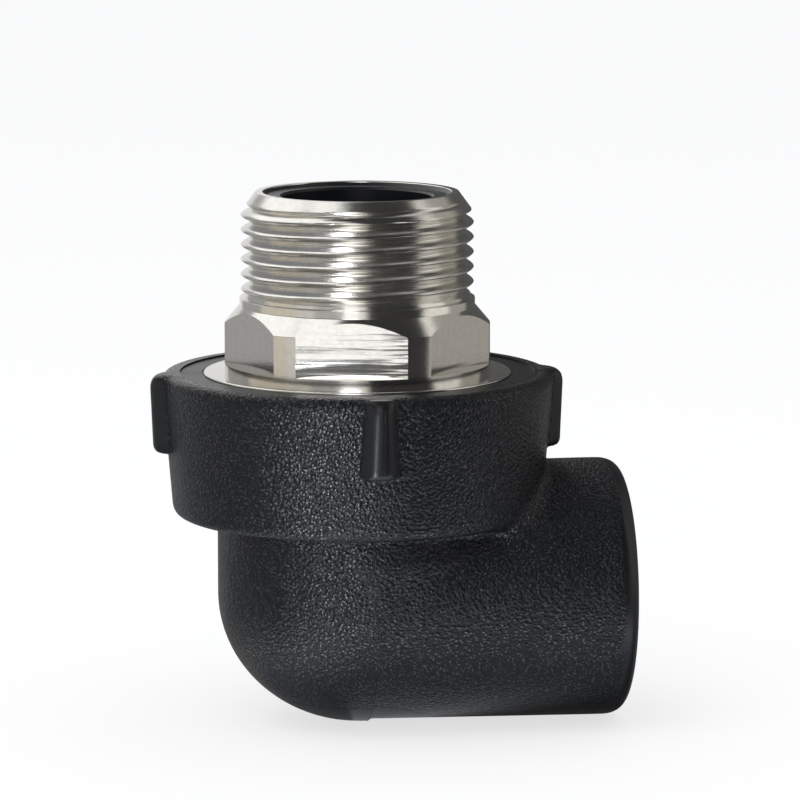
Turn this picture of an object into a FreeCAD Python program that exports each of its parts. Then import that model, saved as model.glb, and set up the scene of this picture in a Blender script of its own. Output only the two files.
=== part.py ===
# Moulded pipe elbow with a male threaded metal insert.
# The vertical leg holds the insert, the horizontal leg is a socket for a plain pipe end.
# Lengths are millimetres and angles are degrees.
import FreeCAD, Part
import math
import os
import Sketcher

SIZES = {
    # Collar, the thick round head that grips the insert
    "collar_level": 32.0,
    "collar_height": 20.5,
    "collar_rim_width": 2.75,
    "collar_draft": 1.7,
    "collar_round": 1.5,
    "collar_foot_round": 1.2,
    "land_width": 3.35,
    "land_drop": 0.25,
    "shrink_gap": 0.25,
    "shrink_depth": 0.4,
    # Four lugs round the collar
    "lug_count": 4,
    "lug_height": 11.0,
    "lug_rise": 1.75,
    "lug_draft": 0.5,
    "lug_root_width": 4.7,
    "lug_face_width": 1.7,
    "lug_round": 1.9,
    "lug_foot_round": 1.0,
    # Vertical barrel, and the domed corner under it
    "barrel_radius": 20.1,
    "dome_flattening": 1.3,
    "parting_shift": 0.8,
    # Horizontal arm
    "arm_length": 38.4,
    "arm_flattening": 1.8,
    "arm_end_radius": 18.6,
    "arm_mouth_length": 6.0,
    "arm_round": 3.0,
    # Waterway and pipe socket
    "socket_radius": 15.6,
    "socket_depth": 18.1,
    "socket_lead": 0.9,
    "waterway_radius": 12.0,
    "core_bevel": 4.0,
    "liner_wall": 2.7,
    "liner_recess": 0.6,
    # Threaded end of the insert
    "thread_radius": 16.6245,
    "lead_depth": 2.1245,
    "rim_width": 1.1,
    "rim_level": 57.75,
    "lead_height": 2.9,
    "thread_foot_level": 43.2,
    "run_out_depth": 0.6,
    "run_out_width": 0.5,
    "neck_step": 0.1755,
    "shoulder_rise": 2.4,
    "neck_height": 0.9,
    # Wrench hexagon and flange
    "hex_width": 34.5,
    "hex_flat_depth": 1.7,
    "hex_turn": 20.8,
    "base_ring_height": 1.3,
    "flange_ledge": 3.05,
    "flange_height": 2.6,
    "flange_edge": 0.2,
    # Buried skirt of the insert
    "skirt_wall": 4.2,
    "skirt_groove_wall": 2.8,
    "skirt_groove_height": 2.0,
    "anchor_ledge": 2.8,
    "anchor_height": 3.5,
    "anchor_notches": 16,
    "notch_depth": 1.4,
    "notch_width": 2.4,
    "skirt_step": 2.4,
    "skirt_tail": 2.5,
    "skirt_edge": 0.6,
    # Square-cut seal ring round the skirt
    "seal_section": 2.6,
    "seal_bed_wall": 2.5,
}
HEX_SIDES = 6


class Size:
    """A length that keeps its number and the expression that it comes from."""

    def __init__(self, number, text):
        self.number = number
        self.text = text

    def join(self, other, sign, number):
        other_text = other.text if isinstance(other, Size) else repr(other)
        return Size(number, "(%s %s %s)" % (self.text, sign, other_text))

    def __add__(self, other):
        return self.join(other, "+", self.number + as_number(other))

    def __sub__(self, other):
        return self.join(other, "-", self.number - as_number(other))

    def __mul__(self, other):
        return self.join(other, "*", self.number * as_number(other))

    def __truediv__(self, other):
        return self.join(other, "/", self.number / as_number(other))

    def __neg__(self):
        return Size(-self.number, "(-1 * %s)" % self.text)


def as_number(value):
    return value.number if isinstance(value, Size) else value


doc = FreeCAD.newDocument("elbow")
sheet = doc.addObject("Spreadsheet::Sheet", "Sizes")
for row, (alias, number) in enumerate(SIZES.items(), start=1):
    sheet.set("A%d" % row, alias)
    sheet.set("B%d" % row, str(number))
    sheet.setAlias("B%d" % row, alias)
doc.recompute()
size = {alias: Size(number, "Sizes." + alias) for alias, number in SIZES.items()}


# Radii worked out from the thread inwards, and from the bore out to the buried skirt
rim_radius = size["thread_radius"] - size["lead_depth"]
insert_bore = rim_radius - size["rim_width"]
liner_bore = insert_bore - size["liner_wall"]
neck_radius = size["thread_radius"] + size["neck_step"]
skirt_radius = insert_bore + size["skirt_wall"]
skirt_groove_radius = insert_bore + size["skirt_groove_wall"]
anchor_radius = skirt_radius + size["anchor_ledge"]
seal_bed_radius = insert_bore + size["seal_bed_wall"]

# Radii worked out from the hexagon outwards
blank_radius = size["hex_width"] / 2 + size["hex_flat_depth"]
flange_radius = blank_radius + size["flange_ledge"]
land_radius = flange_radius + size["land_width"]
collar_radius = land_radius + size["collar_rim_width"]
collar_foot_radius = collar_radius - size["collar_draft"]
lug_reach = collar_radius + size["lug_rise"]
lug_foot_reach = lug_reach - size["lug_draft"]

# Half heights of the dome and of the arm's root, which are both a little flat
dome_depth = size["barrel_radius"] - size["dome_flattening"]
arm_root_depth = size["barrel_radius"] - size["arm_flattening"]

# Levels and distances worked out from the driving sizes
collar_foot = size["collar_level"] - size["collar_height"]
lug_foot = size["collar_level"] - size["lug_height"]
stop_distance = size["arm_length"] - size["socket_depth"]
liner_level = size["rim_level"] - size["liner_recess"]
lead_foot = size["rim_level"] - size["lead_height"]
neck_top = size["thread_foot_level"] - size["run_out_width"]
neck_foot = neck_top - size["neck_height"]
shoulder_level = neck_foot - size["shoulder_rise"]
hex_foot = size["collar_level"] + size["base_ring_height"]
flange_foot = size["collar_level"] - size["flange_height"]
anchor_top = flange_foot - size["skirt_groove_height"]
anchor_foot = anchor_top - size["anchor_height"]
seal_top = anchor_foot - size["skirt_step"]
seal_foot = seal_top - size["seal_section"]
skirt_foot = seal_foot - size["skirt_tail"]


def bind(item, path, value):
    """Tie a property to the sheet."""
    item.setExpression(path, value.text if isinstance(value, Size) else repr(value))


def new_body(name):
    """A body whose own origin is where the two legs' centre lines cross."""
    body = doc.addObject("PartDesign::Body", name)
    body.Label = name
    bind(body, "Placement.Base.x", -stop_distance)
    return body


def new_sketch(body, name, plane_role, height=None):
    sketch = body.newObject("Sketcher::SketchObject", name)
    plane = next(item for item in body.Origin.OriginFeatures if item.Role == plane_role)
    sketch.AttachmentSupport = [(plane, "")]
    sketch.MapMode = "FlatFace"
    if height is not None:
        bind(sketch, "AttachmentOffset.Base.z", height)
    return sketch


def hold(sketch, edge, kind, value):
    """Tie the start of an edge to its distance from one of the sketch's axes."""
    axis = {"DistanceX": -2, "DistanceY": -1}[kind]
    if as_number(value) == 0:
        sketch.addConstraint(Sketcher.Constraint("PointOnObject", edge, 1, axis))
        return
    index = sketch.addConstraint(Sketcher.Constraint(kind, -1, 1, edge, 1, as_number(value)))
    bind(sketch, "Constraints[%d]" % index, value)


def draw_outline(sketch, corners):
    """Close straight edges through the corners, and tie each corner to its sizes."""
    points = [FreeCAD.Vector(as_number(across), as_number(up), 0) for across, up in corners]
    first = sketch.GeometryCount
    for start, end in zip(points, points[1:] + points[:1]):
        sketch.addGeometry(Part.LineSegment(start, end), False)
    for place in range(len(points)):
        following = first + (place + 1) % len(points)
        sketch.addConstraint(Sketcher.Constraint("Coincident", first + place, 2, following, 1))
    for place, (across, up) in enumerate(corners):
        hold(sketch, first + place, "DistanceX", across)
        hold(sketch, first + place, "DistanceY", up)


def draw_circle(sketch, radius):
    centre = FreeCAD.Vector(0, 0, 0)
    upright = FreeCAD.Vector(0, 0, 1)
    circle = sketch.addGeometry(Part.Circle(centre, upright, as_number(radius)), False)
    sketch.addConstraint(Sketcher.Constraint("Coincident", circle, 3, -1, 1))
    index = sketch.addConstraint(Sketcher.Constraint("Radius", circle, as_number(radius)))
    bind(sketch, "Constraints[%d]" % index, radius)


def turn(body, name, plane_role, axis_name, corners):
    """Revolve a closed outline about an axis of its sketch."""
    sketch = new_sketch(body, name + "_outline", plane_role)
    draw_outline(sketch, corners)
    turned = body.newObject("PartDesign::Revolution", name)
    turned.Profile = sketch
    turned.ReferenceAxis = (sketch, [axis_name])
    turned.Angle = 360
    doc.recompute()
    return turned


def circle_edges(shape, axis, places):
    """Names of the full circles about an axis that have the given radii and heights."""
    names = []
    for number, edge in enumerate(shape.Edges, start=1):
        if edge.Curve.TypeId != "Part::GeomCircle" or not edge.isClosed():
            continue
        for radius, height in places:
            centre = edge.Curve.Center
            along = centre.dot(axis)
            off_axis = (centre - axis * along).Length
            same_radius = math.isclose(edge.Curve.Radius, as_number(radius), abs_tol=1e-4)
            if same_radius and off_axis < 1e-4 and abs(along - as_number(height)) < 1e-4:
                names.append("Edge%d" % number)
    return names


Z_AXIS = FreeCAD.Vector(0, 0, 1)
X_AXIS = FreeCAD.Vector(1, 0, 0)


def dress(body, kind, name, base, places, property_name, value, axis=Z_AXIS):
    """Round or chamfer the circular edges at the given places."""
    feature = body.newObject(kind, name)
    feature.Base = (base, circle_edges(base.Shape, axis, places))
    bind(feature, property_name, value)
    doc.recompute()
    return feature


def make_insert():
    """Turned and milled metal insert: thread, shoulder, hexagon, flange and buried skirt."""
    body = new_body("threaded_insert")
    run_out = size["thread_radius"] - size["run_out_depth"]
    corners = [
        (insert_bore, skirt_foot),
        (skirt_radius, skirt_foot),
        (skirt_radius, seal_foot),
        (seal_bed_radius, seal_foot),
        (seal_bed_radius, seal_top),
        (skirt_radius, seal_top),
        (skirt_radius, anchor_foot),
        (anchor_radius, anchor_foot),
        (anchor_radius, anchor_top),
        (skirt_groove_radius, anchor_top),
        (skirt_groove_radius, flange_foot),
        (flange_radius, flange_foot),
        (flange_radius, size["collar_level"]),
        (blank_radius, size["collar_level"]),
        (blank_radius, shoulder_level),
        (neck_radius, neck_foot),
        (neck_radius, neck_top),
        (run_out, neck_top),
        (run_out, size["thread_foot_level"]),
        (size["thread_radius"], size["thread_foot_level"]),
        (size["thread_radius"], lead_foot),
        (rim_radius, size["rim_level"]),
        (insert_bore, size["rim_level"]),
    ]
    turned = turn(body, "insert_turned", "XZ_Plane", "V_Axis", corners)

    flats_sketch = new_sketch(body, "hex_outline", "XY_Plane", hex_foot)
    half_side_angle = 180 / HEX_SIDES
    corner_reach = size["hex_width"] / (2 * math.cos(math.radians(half_side_angle)))
    draw_circle(flats_sketch, corner_reach + flange_radius)
    hex_corners = []
    for corner in range(HEX_SIDES):
        direction = size["hex_turn"] + (2 * corner + 1) * half_side_angle
        angle = as_number(direction)
        angle_text = "%s * 1 deg" % direction.text
        across = Size(as_number(corner_reach) * math.cos(math.radians(angle)),
                      "%s * cos(%s)" % (corner_reach.text, angle_text))
        up = Size(as_number(corner_reach) * math.sin(math.radians(angle)),
                  "%s * sin(%s)" % (corner_reach.text, angle_text))
        hex_corners.append((across, up))
    draw_outline(flats_sketch, hex_corners)
    flats = body.newObject("PartDesign::Pocket", "hex_flats")
    flats.Profile = flats_sketch
    flats.Reversed = True
    bind(flats, "Length", neck_top - hex_foot)
    doc.recompute()

    notch_sketch = new_sketch(body, "notch_outline", "XY_Plane", anchor_foot)
    inner = anchor_radius - size["notch_depth"]
    outer = anchor_radius + size["notch_depth"]
    half = size["notch_width"] / 2
    draw_outline(notch_sketch, [(inner, -half), (outer, -half), (outer, half), (inner, half)])
    notch = body.newObject("PartDesign::Pocket", "anchor_notch")
    notch.Profile = notch_sketch
    notch.Reversed = True
    bind(notch, "Length", size["anchor_height"])
    doc.recompute()
    notches = body.newObject("PartDesign::PolarPattern", "anchor_notches")
    notches.Originals = [notch]
    notches.Axis = (notch_sketch, ["N_Axis"])
    notches.Angle = 360
    bind(notches, "Occurrences", size["anchor_notches"])
    body.Tip = notches
    doc.recompute()

    edge_places = [(flange_radius, size["collar_level"])]
    flange_edge = dress(body, "PartDesign::Chamfer", "flange_edge", notches, edge_places,
                        "Size", size["flange_edge"])
    foot_places = [(skirt_radius, skirt_foot)]
    dress(body, "PartDesign::Chamfer", "skirt_edge", flange_edge, foot_places,
          "Size", size["skirt_edge"])
    return body


def make_seal_ring():
    """Square-cut rubber ring that fills its groove in the skirt and stands out of it."""
    body = new_body("seal_ring")
    outside = seal_bed_radius + size["seal_section"]
    turn(body, "seal_turned", "XZ_Plane", "V_Axis", [
        (seal_bed_radius, seal_foot),
        (outside, seal_foot),
        (outside, seal_top),
        (seal_bed_radius, seal_top),
    ])
    return body


def make_upright_form():
    """Barrel, drafted collar and the liner that runs up through the insert."""
    body = new_body("upright_form")
    gap_radius = flange_radius + size["shrink_gap"]
    gap_foot = size["collar_level"] - size["shrink_depth"]
    land_level = size["collar_level"] - size["land_drop"]
    liner_overlap = (insert_bore + rim_radius) / 2
    corners = [
        (0, 0),
        (size["barrel_radius"], 0),
        (size["barrel_radius"], collar_foot),
        (collar_foot_radius, collar_foot),
        (collar_radius, size["collar_level"]),
        (land_radius, size["collar_level"]),
        (land_radius, land_level),
        (gap_radius, land_level),
        (gap_radius, gap_foot),
        (liner_overlap, gap_foot),
        (liner_overlap, liner_level),
        (0, liner_level),
    ]
    turned = turn(body, "upright_turned", "XZ_Plane", "V_Axis", corners)
    top_edge = [(collar_radius, size["collar_level"])]
    rounded = dress(body, "PartDesign::Fillet", "collar_round", turned, top_edge,
                    "Radius", size["collar_round"])
    foot_edge = [(collar_foot_radius, collar_foot)]
    dress(body, "PartDesign::Fillet", "collar_foot_round", rounded, foot_edge,
          "Radius", size["collar_foot_round"])
    return body


def make_lugs():
    """Lugs with slanted flanks, cut to the turned shape of one drafted and rounded ring."""
    ring_body = new_body("lug_ring")
    inner = size["barrel_radius"]
    corners = [
        (inner, lug_foot),
        (lug_foot_reach, lug_foot),
        (lug_reach, size["collar_level"]),
        (inner, size["collar_level"]),
    ]
    turned = turn(ring_body, "lug_ring_turned", "XZ_Plane", "V_Axis", corners)
    top_edge = [(lug_reach, size["collar_level"])]
    rounded = dress(ring_body, "PartDesign::Fillet", "lug_round", turned, top_edge,
                    "Radius", size["lug_round"])
    foot_edge = [(lug_foot_reach, lug_foot)]
    dress(ring_body, "PartDesign::Fillet", "lug_foot_round", rounded, foot_edge,
          "Radius", size["lug_foot_round"])

    blank_body = new_body("lug_blanks")
    sketch = new_sketch(blank_body, "lug_outline", "XY_Plane", lug_foot)
    root = size["lug_root_width"] / 2
    face = size["lug_face_width"] / 2
    rise = lug_reach - collar_radius
    slant = (root - face) / rise
    deep_root = root + slant * (collar_radius - land_radius)
    draw_outline(sketch, [
        (land_radius, -deep_root),
        (lug_reach, -face),
        (lug_reach, face),
        (land_radius, deep_root),
    ])
    blank = blank_body.newObject("PartDesign::Pad", "lug_blank")
    blank.Profile = sketch
    bind(blank, "Length", size["lug_height"])
    doc.recompute()
    blanks = blank_body.newObject("PartDesign::PolarPattern", "lug_blank_ring")
    blanks.Originals = [blank]
    blanks.Axis = (sketch, ["N_Axis"])
    blanks.Angle = 360
    bind(blanks, "Occurrences", size["lug_count"])
    blank_body.Tip = blanks
    doc.recompute()

    lugs = doc.addObject("Part::Common", "lugs")
    lugs.Base = ring_body
    lugs.Tool = blank_body
    doc.recompute()
    return lugs


def make_dome():
    """Domed corner, on the side of the parting line away from the arm."""
    dome = doc.addObject("Part::Ellipsoid", "dome_full")
    bind(dome, "Radius1", dome_depth)
    bind(dome, "Radius2", size["barrel_radius"])
    bind(dome, "Radius3", size["barrel_radius"])
    dome.Angle1 = -90
    dome.Angle2 = 0
    bind(dome, "Placement.Base.x", -stop_distance)
    half = doc.addObject("Part::Box", "dome_side")
    bind(half, "Length", size["barrel_radius"] + size["parting_shift"])
    bind(half, "Width", size["barrel_radius"] * 2)
    bind(half, "Height", dome_depth)
    bind(half, "Placement.Base.x", -stop_distance - size["barrel_radius"])
    bind(half, "Placement.Base.y", -size["barrel_radius"])
    bind(half, "Placement.Base.z", -dome_depth)
    corner = doc.addObject("Part::Common", "dome")
    corner.Base = dome
    corner.Tool = half
    doc.recompute()
    return corner


def make_arm():
    """Arm that goes from the barrel's width at its root to a round socket end."""
    body = new_body("arm")
    root = new_sketch(body, "arm_root", "YZ_Plane")
    width, depth = size["barrel_radius"], arm_root_depth
    ellipse = Part.Ellipse(FreeCAD.Vector(0, 0, 0), as_number(width), as_number(depth))
    root.addGeometry(ellipse, False)
    root.exposeInternalGeometry(0)
    root.addConstraint(Sketcher.Constraint("Coincident", 0, 3, -1, 1))
    for line, reach in ((1, width), (2, depth)):
        index = root.addConstraint(Sketcher.Constraint("Distance", line, as_number(reach) * 2))
        bind(root, "Constraints[%d]" % index, reach * 2)
    root.addConstraint(Sketcher.Constraint("Horizontal", 1))
    end = new_sketch(body, "arm_end", "YZ_Plane", size["arm_length"] - size["arm_mouth_length"])
    draw_circle(end, size["arm_end_radius"])
    loft = body.newObject("PartDesign::AdditiveLoft", "arm_loft")
    loft.Profile = root
    loft.Sections = [(end, [""])]
    loft.Ruled = True
    doc.recompute()
    mouth = body.newObject("PartDesign::Pad", "arm_mouth")
    mouth.Profile = end
    bind(mouth, "Length", size["arm_mouth_length"])
    doc.recompute()
    mouth_edge = [(size["arm_end_radius"], size["arm_length"])]
    dress(body, "PartDesign::Fillet", "arm_round", mouth, mouth_edge,
          "Radius", size["arm_round"], X_AXIS)
    return body


def make_cores():
    """What the mould's cores leave hollow: pipe socket, waterway and liner bore."""
    body = new_body("cores")
    socket, way = size["socket_radius"], size["waterway_radius"]
    mouth = size["arm_length"]
    core_end = -liner_bore
    bevel = size["core_bevel"]
    corners = [
        (core_end, 0),
        (core_end, way - bevel),
        (core_end + bevel, way),
        (stop_distance, way),
        (stop_distance, socket),
        (mouth - size["socket_lead"], socket),
        (mouth, socket + size["socket_lead"]),
        (mouth, 0),
    ]
    turn(body, "socket_core", "XZ_Plane", "H_Axis", corners)
    riser = body.newObject("PartDesign::AdditiveCylinder", "riser_core")
    bind(riser, "Radius", liner_bore)
    bind(riser, "Height", liner_level)
    doc.recompute()
    return body


def make_elbow_body(insert, seal):
    """One moulding: outer form less the cores, the insert and the seal ring."""
    form = doc.addObject("Part::MultiFuse", "outer_form")
    form.Shapes = [make_upright_form(), make_lugs(), make_dome(), make_arm()]
    form.Refine = True
    doc.recompute()
    hollow = doc.addObject("Part::Cut", "hollow_form")
    hollow.Base = form
    hollow.Tool = make_cores()
    doc.recompute()
    bedded = doc.addObject("Part::Cut", "form_round_insert")
    bedded.Base = hollow
    bedded.Tool = insert
    doc.recompute()
    moulding = doc.addObject("Part::Cut", "elbow_body")
    moulding.Label = "elbow_body"
    moulding.Base = bedded
    moulding.Tool = seal
    doc.recompute()
    return moulding


insert_body = make_insert()
seal_ring = make_seal_ring()
elbow_body = make_elbow_body(insert_body, seal_ring)
sub_parts = [elbow_body, insert_body, seal_ring]
doc.recompute()

faults = [item.Label for item in doc.Objects if {"Invalid", "Error"} & set(item.State)]
if faults:
    raise RuntimeError("not built: " + ", ".join(faults))
for item in doc.Objects:
    if item.isDerivedFrom("Part::Feature") and not item.Shape.isValid():
        raise RuntimeError("no valid shape: " + item.Label)

os.makedirs("parts", exist_ok=True)
for item in sub_parts:
    item.Shape.exportStep(os.path.join("parts", item.Label + ".step"))
    print(item.Label, len(item.Shape.Solids), "solid", round(item.Shape.Volume, 1), "mm3")
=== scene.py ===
"""Dresses the male threaded pipe elbow: black moulded housing, nickel-plated insert, plain studio.

Sizes in the outlines are millimetres, measured from the point where the centre lines of the two
legs cross.
"""

import math

import bmesh
import bpy
import numpy as np
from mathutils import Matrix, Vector
from mathutils.bvhtree import BVHTree


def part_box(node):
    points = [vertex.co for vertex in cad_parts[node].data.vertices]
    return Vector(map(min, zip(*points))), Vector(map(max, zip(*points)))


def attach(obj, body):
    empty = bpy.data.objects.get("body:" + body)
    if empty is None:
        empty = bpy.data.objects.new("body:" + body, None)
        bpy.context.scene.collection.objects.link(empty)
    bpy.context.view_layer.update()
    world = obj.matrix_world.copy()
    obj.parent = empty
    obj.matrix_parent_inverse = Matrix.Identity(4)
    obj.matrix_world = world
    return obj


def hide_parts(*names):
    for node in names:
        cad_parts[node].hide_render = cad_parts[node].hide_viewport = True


bl_info = {
    "name": "Male threaded pipe elbow",
    "version": (1, 0, 0),
    "blender": (4, 5, 0),
    "location": "3D View > Sidebar > Elbow",
    "description": "Builds the moulded elbow, its threaded insert and a plain studio",
    "category": "Object",
}

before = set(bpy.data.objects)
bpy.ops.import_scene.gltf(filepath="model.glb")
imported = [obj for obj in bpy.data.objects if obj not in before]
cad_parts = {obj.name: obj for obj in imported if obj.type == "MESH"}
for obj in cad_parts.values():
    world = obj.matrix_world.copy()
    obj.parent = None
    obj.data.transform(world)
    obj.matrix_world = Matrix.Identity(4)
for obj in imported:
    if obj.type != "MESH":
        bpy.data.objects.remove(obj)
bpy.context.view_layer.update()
MM = 0.001

# Where the upright leg's centre line stands, in metres
INSERT_LOW, INSERT_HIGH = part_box("threaded_insert")
UPRIGHT_X = (INSERT_LOW.x + INSERT_HIGH.x) / 2

# Outer sizes of the housing in millimetres, and drafts as growth of radius by height
COLLAR_RADIUS, COLLAR_FOOT, COLLAR_TOP, COLLAR_DRAFT = 26.4, 11.5, 32.0, 0.0829
LUG_RADIUS, LUG_FOOT, LUG_DRAFT = 29.28, 20.7, 0.0455
BARREL_RADIUS, BARREL_TOP, DOME_DEPTH = 20.1, 25.0, 18.72
ARM_END = 38.38

# Which way two of the hexagon's flats face, and its heights and blank in millimetres
FIRST_FLAT = math.radians(20.8)
FRONT_FLAT = FIRST_FLAT + math.radians(240)
HEX_FOOT, HEX_TOP, BLANK_RADIUS = 33.3, 42.69, 18.95

# Outlines to turn, as (radius, height), with the rounding of a corner as a third number
LINER = [(0, 22), (13.4, 22), (13.4, 57.6), (12.9, 57.2), (0, 57.15)]
INSERT_BED = [
    (13.4, 16.4), (17.6, 16.4), (17.6, 18.9), (18.5, 18.9), (18.5, 21.5), (17.6, 21.5),
    (17.6, 23.9), (20.4, 23.9), (20.4, 27.4), (16.2, 27.4), (16.2, 29.4), (22.0, 29.4),
    (22.0, 31.6), (22.25, 31.6), (22.25, 31.75), (25.35, 31.75), (25.35, 34), (13.4, 34),
]
PIPE_WAY = [
    (0, -10.7), (8.0, -10.7), (12.0, -6.7), (12.0, 20.3), (15.6, 20.3), (15.6, 37.5),
    (16.5, 38.4), (16.5, 40), (0, 40),
]
RISER = [(0, 0), (10.7, 0), (10.7, 56.85), (11.0, 57.15), (11.0, 58), (0, 58)]
INSERT_BODY = [
    (13.4, 16.4), (17.0, 16.4), (17.6, 17.0), (17.6, 18.9), (15.9, 18.9), (15.9, 21.5),
    (17.6, 21.5), (17.6, 23.9), (20.4, 23.9), (20.4, 27.4), (16.2, 27.4), (16.2, 29.4),
    (22.0, 29.4), (22.0, 32.0, 0.22), (BLANK_RADIUS, 32.0), (BLANK_RADIUS, 39.05, 0.12),
    (16.8, 41.6, 0.25), (16.8, 42.7, 0.12), (16.02, 42.7, 0.1), (16.02, 43.2),
    (15.0, 43.4), (15.0, 57.0), (14.5, 57.75), (13.4, 57.75, 0.15),
]
HOUSING_SIDES, INSERT_SIDES = 192, 288

# The camera, in radians and millimetres
CAMERA_YAW = math.radians(7.1)
CAMERA_DIP = math.radians(8.68)
CAMERA_DISTANCE, LENS, FILM = 687.3, 216, 36
AIM_RIGHT, AIM_UP = 6.1, 27.7

# The studio, in millimetres: the disc lies just over the floor
FLOOR_LEVEL, FLOOR_REACH = -18.95, 3000
DISC_LEVEL = -18.9
TENT_REACH, TENT_MIDDLE = 300, 20


# Small tools that every piece uses
def linear(hex_colour):
    """An sRGB hex colour as the linear colour that a shader takes."""
    parts = [int(hex_colour[place:place + 2], 16) / 255 for place in (1, 3, 5)]
    return [part / 12.92 if part <= 0.04045 else ((part + 0.055) / 1.055) ** 2.4 for part in parts]


def add_node(tree, kind, settings=None, inputs=None):
    """Add a node, set its settings, and give each input a value or link it to a socket."""
    made = tree.nodes.new(kind)
    for name, value in (settings or {}).items():
        setattr(made, name, value)
    for name, value in (inputs or {}).items():
        if isinstance(value, bpy.types.NodeSocket):
            tree.links.new(value, made.inputs[name])
        else:
            made.inputs[name].default_value = value
    return made


def new_piece(name, points, faces):
    """A mesh object whose place is in its mesh, from millimetres about the crossing point."""
    mesh = bpy.data.meshes.new(name)
    places = [(x * MM + UPRIGHT_X, y * MM, z * MM) for x, y, z in points]
    mesh.from_pydata(places, [], [list(face) for face in faces])
    piece = bpy.data.objects.new(name, mesh)
    bpy.context.scene.collection.objects.link(piece)
    return piece


def tidy_skin(piece, smooth_angle):
    """Merge doubles, point every face outwards, and shade smooth below an angle in degrees."""
    double = 0.0005 * MM
    work = bmesh.new()
    work.from_mesh(piece.data)
    bmesh.ops.remove_doubles(work, verts=work.verts, dist=double)
    bmesh.ops.recalc_face_normals(work, faces=work.faces)
    work.to_mesh(piece.data)
    work.free()
    piece.data.shade_smooth()
    piece.data.set_sharp_from_angle(angle=math.radians(smooth_angle))


def cut_piece(piece, tool, operation):
    """Join or cut a piece with a closed tool, and remove the tool."""
    change = piece.modifiers.new("shape", "BOOLEAN")
    change.operation = operation
    change.object = tool
    change.solver = "MANIFOLD"
    bake_piece(piece)
    bpy.data.objects.remove(tool)


def bake_piece(piece):
    """Turn what the modifiers make into the piece's own plain mesh."""
    evaluated = piece.evaluated_get(bpy.context.evaluated_depsgraph_get())
    made = bpy.data.meshes.new_from_object(evaluated)
    piece.modifiers.clear()
    old = piece.data
    piece.data = made
    made.name = piece.name
    bpy.data.meshes.remove(old)


def rounded(corners):
    """Outline with the corners rounded; a corner is (radius, height) or has a rounding third."""
    steps = 6
    outline = []
    for place, corner in enumerate(corners):
        here = Vector(corner[:2])
        rounding = corner[2] if len(corner) > 2 else 0
        if not rounding:
            outline.append(tuple(here))
            continue
        before = (Vector(corners[place - 1][:2]) - here).normalized()
        after = (Vector(corners[(place + 1) % len(corners)][:2]) - here).normalized()
        half = before.angle(after) / 2
        centre = here + (before + after).normalized() * (rounding / math.sin(half))
        start = here + before * (rounding / math.tan(half)) - centre
        end = here + after * (rounding / math.tan(half)) - centre
        sweep = start.angle_signed(end)
        for step in range(steps + 1):
            angle = -sweep * step / steps
            turned = Vector((start.x * math.cos(angle) - start.y * math.sin(angle),
                             start.x * math.sin(angle) + start.y * math.cos(angle)))
            outline.append(tuple(centre + turned))
    return outline


def ring_faces(bands, columns, rings):
    """Bands of faces between rings of points; as many bands as rings close the skin."""
    return [(band * columns + column, band * columns + (column + 1) % columns,
             (band + 1) % rings * columns + (column + 1) % columns,
             (band + 1) % rings * columns + column)
            for band in range(bands) for column in range(columns)]


def revolved(name, outline, steps, along="Z"):
    """Closed skin turned from an outline of (radius, height), about the upright's or arm's axis."""
    points, rings, faces = [], [], []
    for radius, height in outline:
        first = len(points)
        if radius == 0:
            rings.append([first] * steps)
            points.append((0, 0, height))
            continue
        rings.append(list(range(first, first + steps)))
        for step in range(steps):
            angle = 2 * math.pi * step / steps
            points.append((radius * math.cos(angle), radius * math.sin(angle), height))
    for ring, following in zip(rings, rings[1:] + rings[:1]):
        for step in range(steps):
            after = (step + 1) % steps
            corners = dict.fromkeys([ring[step], ring[after], following[after], following[step]])
            if len(corners) > 2:
                faces.append(list(corners))
    if along == "X":
        points = [(z, x, y) for x, y, z in points]
    piece = new_piece(name, points, faces)
    tidy_skin(piece, 30)
    return piece


# The housing's outer form, as a distance that is negative inside it
def soft_min(a, b, blend):
    near = np.maximum(blend - np.abs(a - b), 0) / blend
    return np.minimum(a, b) - near * near * blend / 4


def soft_max(a, b, blend):
    return -soft_min(-a, -b, blend)


def oval_distance(across, up, width, height):
    """Distance from an ellipse about the origin."""
    reach = np.sqrt((across / width) ** 2 + (up / height) ** 2)
    slope = np.sqrt((across / width ** 2) ** 2 + (up / height ** 2) ** 2)
    return reach * (reach - 1) / np.maximum(slope, 1e-6)


def collar_reach(radius, z):
    """How far a place lies outside the collar's drafted side, measured level."""
    return radius - COLLAR_RADIUS - (z - COLLAR_FOOT) * COLLAR_DRAFT


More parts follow.
